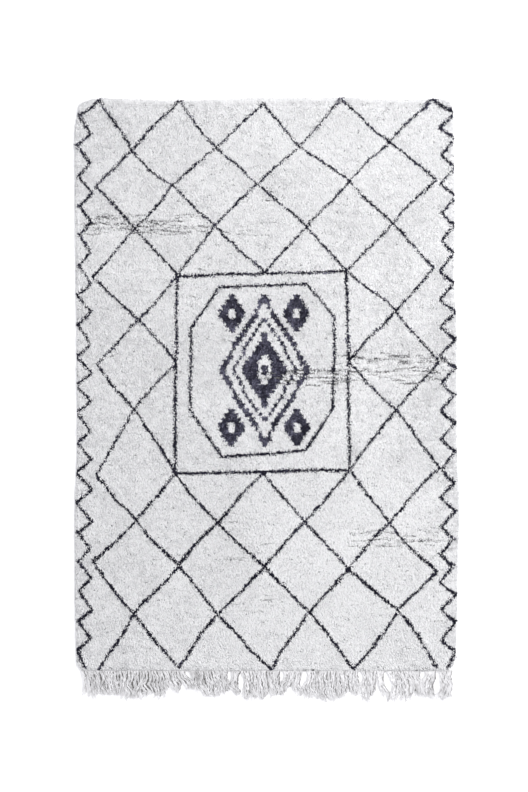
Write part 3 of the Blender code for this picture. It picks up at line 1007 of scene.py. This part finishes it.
def pliedYarn(path, rng, ply):
    # two plies wound round the yarn's own line, which open out at the tip
    runs = np.gradient(path, axis=0)
    runs /= np.linalg.norm(runs, axis=1)[:, None]
    side = np.cross(runs, (0, 0, 1.0))
    up = np.cross(side, runs)
    lengths = np.concatenate([[0], np.cumsum(np.linalg.norm(np.diff(path, axis=0), axis=1))])
    turns = rng.uniform(0, 2 * math.pi) + 2 * math.pi * lengths / fringe["twist"]
    frayed = clipped(lengths / lengths[-1] - fringe["fraying"])
    apart = ply * (0.95 + 1.8 * frayed / 0.2)
    thickness = ply * (1.0 - 0.5 * frayed / 0.2)
    plies = []
    for phase in (0.0, math.pi):
        offset = side * np.cos(turns + phase)[:, None] + up * np.sin(turns + phase)[:, None]
        line = path + offset * apart[:, None]
        line[:, 2] = np.maximum(line[:, 2], thickness)
        plies.append(line)
    return plies, [thickness, thickness]


def fringeStrands(rng):
    # each strand's root and its length
    strands = []
    for k in range(fringe["strands"]):
        root = fringe["rootsFrom"][0] + (k + 0.5) * strandPitch
        tip = root + fringe["tipDrift"] * np.interp(root, *zip(*fringeLeans))
        length = lengthAt(tip) + fringe["longer"] - fringe["lengthSpread"] * rng.random() ** 2
        strands.append((root, length))
    return strands


def wandering(rng, length, kind):
    distance = np.linspace(0.0, length, fringe["steps"])
    return ripples(np.full(len(distance), rng.uniform(0.0, 50.0)), distance, fringe[kind], 95)


def addYarn(yarns, root, beside, wander, length, heights, ply, tone):
    # tone has the yarn's shade at its root and its tip, and how spotted it is
    rng = yarns.rng
    distance = np.linspace(0.0, length, fringe["steps"])
    share = distance / fringe["longest"]
    x = strandPlace(yarns.bunches, root, distance)
    x += np.interp(root, *zip(*fringeLeans)) * distance * (1.0 - 0.4 * share)
    y = -halfLength - fringe["stripGap"] - fringe["stripDepth"] + fringe["underHeading"] - 1.035 * distance
    sweep, wavelength = fringe["sweep"]
    x += sweep * clipped(2.0 * share) * ripples(x, y, (1.0, wavelength), 92)
    strayed = clipped(5 * share) * wander * (1.0 - 0.7 * openness(root, distance))
    x += beside * (1.0 + 0.25 * share) + strayed
    x += clipped(8 * share) * rng.normal(0.0, fringe["kink"], len(x))
    x += rng.uniform(-1, 1) * fringe["curl"] * share ** 2.5
    low, high = heights
    z = low + (high - low) * np.sin(clipped(share * 1.05) * math.pi) ** 0.6
    # painted shade: darker towards the root, and darker still in the listed fringe shadows
    tones = tone[0] + (tone[1] - tone[0]) * clipped(share) ** 2
    tones += ripples(x, 0.6 * y, (tone[2], 0.01), 96) + 0.6 * spread(x, distance, fringeShadows)
    path = np.stack([x, y, z], 1)
    if ply:
        plies, thickness = pliedYarn(path, rng, ply)
        yarns.paths += plies
        yarns.radii += thickness
        yarns.shades += [tones + 0.03, tones - 0.03]
    else:
        yarns.paths.append(path)
        yarns.radii.append(fringe["underRadius"] * (1.0 - 0.6 * clipped(share - 0.6) / 0.4))
        yarns.shades.append(np.maximum(np.maximum(tones, 0.14), 0.8 - 9.0 * share))


def addStrand(yarns, root, length):
    # a few yarns run together along a strand, with darker ones in the gap beside it, painted dark as the
    # shade between strands
    rng = yarns.rng
    patch = ripples(np.array([root]), np.array([0.0]), (0.5, 0.07), 94)[0] + 0.5 * np.clip(root, -0.6, 0.6)
    wander = wandering(rng, length, "strandWander")
    # painted shade: the under yarns are dark for the shade in the gaps between strands
    for under in range(fringe["underYarns"]):
        beside = (0.5 + 0.22 * (under - 0.5)) * strandPitch
        tone = (0.3 + 0.34 * patch + 0.12 * rng.random(), 0.7, 0.3)
        shorter = length * rng.uniform(0.78, 0.95)
        addYarn(yarns, root, beside, 0.4 * wander, shorter, fringe["underHeights"], 0, tone)
    low, high = fringe["yarnHeights"]
    for beside in fringe["yarnsApart"]:
        lift = rng.random()
        # painted light: a yarn lifted higher is paler
        tone = (0.9 + 0.1 * lift + 0.1 * patch, 1.0, 0.22)
        ply = fringe["ply"] * rng.uniform(0.85, 1.1)
        ownWay = wander + wandering(rng, length, "yarnWander")
        ownLength = length * rng.uniform(0.9, 1.05)
        addYarn(yarns, root, beside, ownWay, ownLength, (low, high + fringe["pileUp"] * lift), ply, tone)


def addStray(yarns):
    rng = yarns.rng
    root = rng.uniform(*fringe["strayFrom"])
    length = lengthAt(root) * rng.uniform(0.7, 1.06)
    beside = rng.uniform(-0.015, 0.015)
    wander = wandering(rng, length, "strayWander")
    addYarn(yarns, root, beside, wander, length, fringe["strayHeights"], fringe["ply"] * 0.7, (1.0, 1.0, 0.1))


def buildHeading(rng, material):
    first, last = fringe["rootsFrom"]
    x = np.arange(first, last + heading["overrun"], heading["step"])
    cords = []
    for y, hand in heading["cords"]:
        for phase in (0.0, math.pi):
            turn = hand * 2 * math.pi * x / heading["twist"] + phase
            cordY = -halfLength + y + heading["ply"] * np.cos(turn)
            cordZ = heading["height"] + heading["ply"] * np.sin(turn)
            cords += inLengths(np.stack([x, cordY, cordZ], 1), fringe["steps"])
    # painted shade at random along the cords, painted light towards the right
    tones = rng.uniform(*heading["tones"], (len(cords), fringe["steps"]))
    tones += heading["rightPaintedLight"] * clipped(np.array(cords)[:, :, 0] + 0.3)
    piece = tubes("fringe_heading", cords, heading["radius"], clipped(tones), material)
    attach(piece, "root")
    return piece


def buildFringe(material):
    rng = random.Random(23)
    loose = np.random.default_rng(29)
    yarns = SimpleNamespace(rng=loose, bunches=fringeBunches(rng), paths=[], radii=[], shades=[])
    for root, length in fringeStrands(rng):
        addStrand(yarns, root, length)
    for _ in range(fringe["strays"]):
        addStray(yarns)
    piece = tubes("fringe_yarns", yarns.paths, yarns.radii, clipped(yarns.shades), material)
    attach(piece, "root")
    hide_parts("fringe")
    print("fringe:", len(yarns.paths), "yarns and plies")
    return [piece, buildHeading(loose, material)]


wool = {
    "cream": (0.96, 0.96, 0.96, 1),
    "creamDull": (0.66, 0.66, 0.668, 1),
    "dark": (0.005, 0.0045, 0.013, 1),
    "darkFaded": (0.19, 0.187, 0.262, 1),
    # painted shade low on each lock, towards its root
    "rootPaintedShade": 0.9,
    # painted shade along each lock's edges, for its roundness
    "edgePaintedShade": 0.9,
    # the painted shadow colour low down in cracks and partings
    "foldPaintedShadow": (0.06, 0.06, 0.062, 1),
    "underPile": 0.42,  # the weave lies in the pile's shade
    "bareFrom": (0.96, 0.975),  # but not where it shows at the sides
    "fringe": (0.92, 0.915, 0.92, 1),
    # the painted shadow colour of the fringe, seen in the gaps between yarns
    "fringeShadowColour": (0.094, 0.086, 0.08, 1),
    "weave": (0.9, 0.89, 0.87, 1),
    "weaveDull": (0.74, 0.725, 0.7, 1),
    "lockFibre": (6.5, 30.0, 1.1),  # streaks across a lock, from knot to knot, and along it
}


def shaderOf(name, roughness, sheen):
    material = bpy.data.materials.new(name)
    material.use_nodes = True
    shader = material.node_tree.nodes["Principled BSDF"]
    shader.inputs["Roughness"].default_value = roughness
    shader.inputs["Sheen Weight"].default_value = sheen
    shader.inputs["Sheen Roughness"].default_value = 0.45
    shader.inputs["Specular IOR Level"].default_value = 0.25
    return material, material.node_tree, shader


def added(tree, kind, *values, **settings):
    # a node: its inputs, in order, are linked to other nodes or set, but for those that are None
    node = tree.nodes.new("ShaderNode" + kind)
    for name, setting in settings.items():
        setattr(node, name, setting)
    for socket, value in zip([socket for socket in node.inputs if socket.enabled], values):
        if isinstance(value, bpy.types.NodeSocket):
            tree.links.new(value, socket)
        elif value is not None:
            socket.default_value = value
    return node.outputs


def colourMix(tree, factor, first, second, blend="MIX"):
    outputs = added(tree, "Mix", factor, first, second, data_type="RGBA", blend_type=blend)
    return next(socket for socket in outputs if socket.enabled)


def multiplied(tree, colour, *factors):
    for factor in factors:
        colour = colourMix(tree, 1.0, colour, factor, "MULTIPLY")
    return colour


def mapped(tree, value, low, high, toLow, toHigh):
    return added(tree, "MapRange", value, low, high, toLow, toHigh)["Result"]


def calculated(tree, operation, *values):
    return added(tree, "Math", *values, operation=operation)[0]


def attributeValue(tree, name):
    return added(tree, "Attribute", attribute_name=name)["Fac"]


def noiseAt(tree, scale, detail, stretch=(1, 1, 1), place=None):
    place = place or added(tree, "TexCoord")["Object"]
    place = added(tree, "Mapping", place, None, None, stretch)[0]
    return added(tree, "TexNoise", place, scale, detail)["Fac"]


def finished(tree, shader, colour, height, strength, distance):
    # the colour and the bump of a shader
    normal = added(tree, "Bump", strength, distance, None, height)[0]
    tree.links.new(normal, shader.inputs["Normal"])
    tree.links.new(colour, shader.inputs["Base Color"])


def pileMaterial():
    material, tree, shader = shaderOf("pileWool", 0.95, 0.03)
    across, knot, rise = (attributeValue(tree, name) for name in ("across", "shade", "rise"))
    cream = colourMix(tree, knot, wool["creamDull"], wool["cream"])
    dark = colourMix(tree, knot, wool["dark"], wool["darkFaded"])
    yarn = colourMix(tree, attributeValue(tree, "dark"), cream, dark)

    # fibres run along each lock, and it is rounded across; painted shade darkens its edges and its lower
    # part, towards the root
    place = added(tree, "CombineXYZ", across, knot, rise)[0]
    streaks = noiseAt(tree, 1.0, 3.0, wool["lockFibre"], place)
    fibre = mapped(tree, streaks, 0.3, 0.7, 0.82, 1.07)
    square = calculated(tree, "MULTIPLY", across, across)
    # painted shade at the lock's edges
    edge = mapped(tree, square, 0.2, 1.0, 1.0, wool["edgePaintedShade"])
    # painted shade towards the lock's root
    root = mapped(tree, rise, 0.45, 1.0, wool["rootPaintedShade"], 1.0)
    yarn = multiplied(tree, yarn, fibre, edge, root)

    # and painted shadow darkens it low down in a crack or a parting row
    low = mapped(tree, rise, 0.4, 0.95, 1.0, 0.0)
    fold = mapped(tree, attributeValue(tree, "fold"), 0.08, 0.5, 0.0, 1.0)
    fold = calculated(tree, "MULTIPLY", fold, low)
    yarn = colourMix(tree, fold, yarn, wool["foldPaintedShadow"], "MULTIPLY")
    height = calculated(tree, "MULTIPLY_ADD", square, -0.8, streaks)
    finished(tree, shader, yarn, height, 0.5, 0.0014)
    return material


def fringeMaterial():
    material, tree, shader = shaderOf("fringeWool", 0.93, 0.12)
    # the yarn's shade runs from the painted shadow colour to the wool's own
    yarn = colourMix(tree, attributeValue(tree, "shade"), wool["fringeShadowColour"], wool["fringe"])
    patches = mapped(tree, noiseAt(tree, 60.0, 3.0, (1, 0.5, 1)), 0.35, 0.65, 0.9, 1.03)
    fibre = mapped(tree, noiseAt(tree, 1100.0, 3.0), 0.3, 0.7, 0.9, 1.05)
    yarn = multiplied(tree, yarn, patches, fibre)
    finished(tree, shader, yarn, noiseAt(tree, 1500.0, 2.0), 0.6, 0.0008)
    return material


def weaveMaterial():
    # ribs of weft over paired warps, seen at the back and at the edges
    material, tree, shader = shaderOf("weaveWool", 0.95, 0.08)
    place = added(tree, "TexCoord")["Object"]
    waves = []
    for direction, pitch in (("Y", pile["rowPitch"]), ("X", pile["knotPitch"])):
        scale = math.pi / pitch / 10 * 2  # two ribs to a knot
        waves.append(added(tree, "TexWave", place, scale, 0.6, bands_direction=direction)["Fac"])
    ribs = calculated(tree, "MULTIPLY_ADD", waves[0], 0.6, waves[1])
    patches = mapped(tree, noiseAt(tree, 45.0, 4.0), 0.3, 0.7, 0.0, 1.0)
    yarn = colourMix(tree, patches, wool["weaveDull"], wool["weave"])
    # painted shade in the grooves between the ribs
    groovePaintedShade = mapped(tree, ribs, 0.0, 1.6, 0.72, 1.05)
    parts = added(tree, "SeparateXYZ", place)
    top = foundation["top"]
    shaded = mapped(tree, parts["Z"], top - 0.0004, top - 0.0001, 1.0, wool["underPile"])
    bare = mapped(tree, calculated(tree, "ABSOLUTE", parts["X"]), *wool["bareFrom"], 0.0, 1.0)
    yarn = multiplied(tree, yarn, groovePaintedShade, calculated(tree, "MAXIMUM", shaded, bare))
    finished(tree, shader, yarn, ribs, 0.8, 0.0012)
    return material


def floorMaterial():
    material, tree, shader = shaderOf("paleFloor", 0.7, 0.0)
    patches = mapped(tree, noiseAt(tree, 1.5, 2.0), 0.3, 0.7, 0.96, 0.97)
    grey = added(tree, "CombineColor", patches, patches, patches)[0]
    tree.links.new(grey, shader.inputs["Base Color"])
    return material


view = {
    "frame": (528, 792),  # the photograph, in pixels
    "rugMiddle": (265.5, 385.0),  # where the rug's middle lies in it
    "metresPerPixel": 2.0 / 380,
    "lens": 110.0,
    "sensor": 36.0,
    "pileHeight": 0.02,  # that scale is true at this height
    "floor": 14.0,
    "sky": (0.953, 0.953, 0.988, 1),
    "horizonLight": 0.7,
    "overheadLight": 1.09,
    "softbox": (5.0, 3.4, 5.4),
    "softboxSize": 3.6,
    "softboxPower": 500,
}


def buildCamera():
    camera = bpy.data.cameras.new("camera")
    camera.lens = view["lens"]
    camera.sensor_width = view["sensor"]
    scale = view["metresPerPixel"]
    (width, height), (middleX, middleY) = view["frame"], view["rugMiddle"]
    shown = height * scale  # the sensor's width is the frame's long side
    up = shown * view["lens"] / view["sensor"] + view["pileHeight"]
    holder = inScene("camera", camera)
    holder.location = ((width / 2 - middleX) * scale, (middleY - height / 2) * scale, up)
    bpy.context.scene.camera = holder


def buildSoftbox():
    light = bpy.data.lights.new("softbox", "AREA")
    light.shape = "SQUARE"
    light.size = view["softboxSize"]
    light.energy = view["softboxPower"]
    holder = inScene("softbox", light)
    holder.location = view["softbox"]
    holder.rotation_euler = (-Vector(view["softbox"])).to_track_quat("-Z", "Y").to_euler()


def buildStage():
    bm = bmesh.new()
    bmesh.ops.create_grid(bm, x_segments=1, y_segments=1, size=view["floor"])
    floor = linked("floor", bm, floorMaterial())
    world = bpy.data.worlds.new("studio")
    world.use_nodes = True
    tree = world.node_tree
    background = tree.nodes["Background"]
    background.inputs["Color"].default_value = view["sky"]
    upward = added(tree, "SeparateXYZ", added(tree, "TexCoord")["Generated"])["Z"]
    strength = mapped(tree, upward, 0.0, 1.0, view["horizonLight"], view["overheadLight"])
    tree.links.new(strength, background.inputs["Strength"])
    bpy.context.scene.world = world
    bpy.context.scene.view_settings.view_transform = "Standard"


buildCamera()
buildStage()
buildSoftbox()
print("camera, floor and light are set")

weaveWool = weaveMaterial()
base = buildFoundation(weaveWool)
selvedges = buildSelvedges(weaveWool)
print("foundation woven")
fringePieces = buildFringe(fringeMaterial())
pilePieces = buildPile(pileMaterial())

triangles = 0
for piece in (base, selvedges, *fringePieces, *pilePieces):
    piece.data.calc_loop_triangles()
    triangles += len(piece.data.loop_triangles)
    print("piece", piece.name, len(piece.data.loop_triangles))
print("triangles in all:", triangles)
